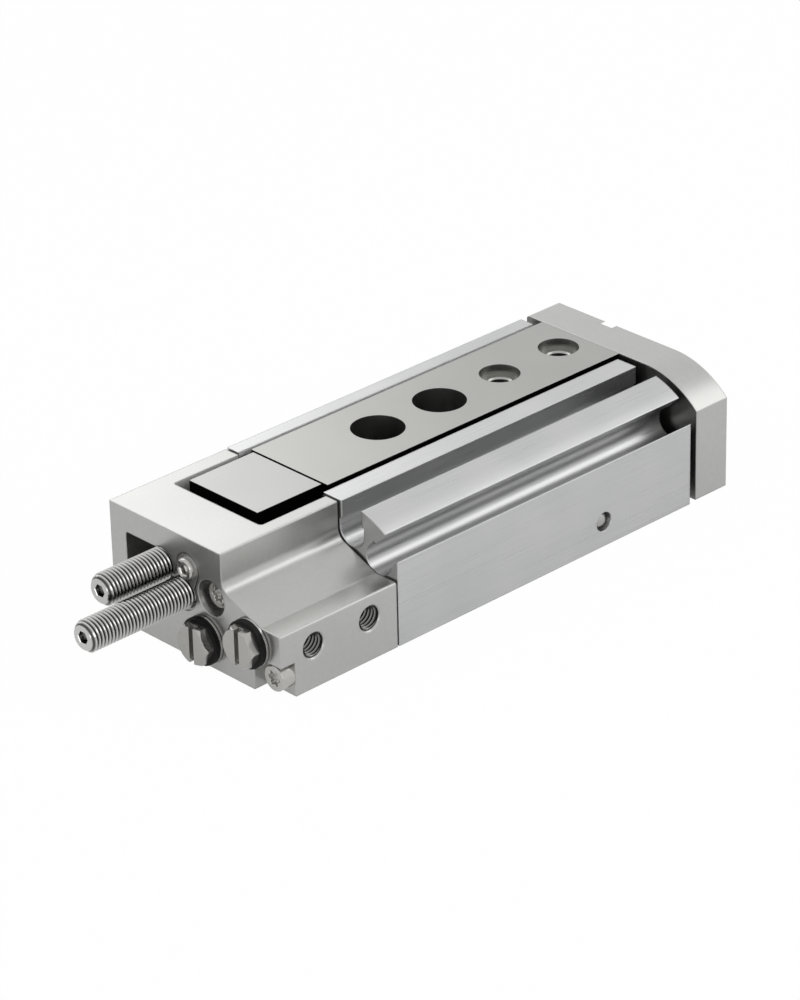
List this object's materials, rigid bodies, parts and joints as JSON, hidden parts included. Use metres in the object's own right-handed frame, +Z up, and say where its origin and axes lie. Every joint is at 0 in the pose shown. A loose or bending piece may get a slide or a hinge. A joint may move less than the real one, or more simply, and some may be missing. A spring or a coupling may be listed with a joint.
{
  "type": "pneumatic slide table",
  "caption": "Compact pneumatic slide table: ball-guided steel table in an aluminium housing with side cylinder, sensor slots, yoke plate and adjustable stop screws.",
  "frame": {"origin": "centre of the rear base bore, on the base face", "axes": "+X along the stroke towards the yoke, +Y towards the flat side, +Z up"},
  "size_m": [0.0871, 0.0282, 0.0155],
  "materials": {
    "housing_aluminium": "fine satin machined",
    "cap_aluminium": "fine satin machined",
    "yoke_aluminium": "fine satin machined",
    "table_steel": "fine ground",
    "carrier_steel": "fine ground",
    "rail_steel": "ground and hardened",
    "screw_steel": "bright plated",
    "stop_steel": "bright cut thread",
    "plug_nickel": "bright plated",
    "rod_steel": "polished",
    "seal_rubber": "matt black",
    "buffer_plastic": "matt",
    "cage_plastic": "matt",
    "magnet_black": "matt",
    "bearing_bronze": "sintered bronze"
  },
  "bodies": {
    "housing": {"housing": "housing_aluminium", "end_cap": "cap_aluminium", "end_cap_gasket": "seal_rubber", "cap_screw_upper": "screw_steel", "cap_screw_lower": "screw_steel", "channel_balls": "rail_steel", "clamp_wedge": "cap_aluminium", "clamp_screw": "screw_steel", "stop_block": "rail_steel", "stop_block_screw": "screw_steel", "rod_bearing": "bearing_bronze", "bearing_oring": "seal_rubber", "rod_seal": "seal_rubber", "rod_wiper": "seal_rubber", "gland_ring": "rail_steel", "port_plug_upper": "plug_nickel", "port_plug_lower": "plug_nickel", "plug_washer_upper": "plug_nickel", "plug_washer_lower": "plug_nickel", "plug_seal_upper": "seal_rubber", "plug_seal_lower": "seal_rubber", "guide_rail_near": "rail_steel", "guide_rail_far": "rail_steel"},
    "ball_cages": {"ball_cage_near": "cage_plastic", "ball_cage_far": "cage_plastic", "guide_balls_near": "rail_steel", "guide_balls_far": "rail_steel"},
    "table": {"table": "table_steel", "stop_carrier": "carrier_steel", "carrier_screws": "screw_steel", "yoke_plate": "yoke_aluminium", "yoke_screws": "screw_steel", "piston_rod": "rod_steel", "rod_screw": "screw_steel", "piston_rear": "yoke_aluminium", "piston_front": "yoke_aluminium", "piston_seals": "seal_rubber", "piston_magnet": "magnet_black"},
    "return_stop": {"return_stop_screw": "stop_steel", "return_buffer": "buffer_plastic"},
    "advance_stop": {"advance_stop_screw": "stop_steel", "advance_buffer": "buffer_plastic"}
  },
  "joints": [
    {"name": "table_stroke", "type": "slide", "parent": "housing", "child": "table", "axis": [1, 0, 0], "range_m": [0, 0.02]},
    {"name": "cage_travel", "type": "slide", "parent": "housing", "child": "ball_cages", "axis": [1, 0, 0], "range_m": [0, 0.01]},
    {"name": "return_stop_setting", "type": "slide", "parent": "housing", "child": "return_stop", "axis": [1, 0, 0], "range_m": [-0.004, 0]},
    {"name": "advance_stop_setting", "type": "slide", "parent": "table", "child": "advance_stop", "axis": [1, 0, 0], "range_m": [-0.004, 0]}
  ],
  "couplings": [
    {"joint": "cage_travel", "follows": "table_stroke", "ratio": 0.5}
  ]
}
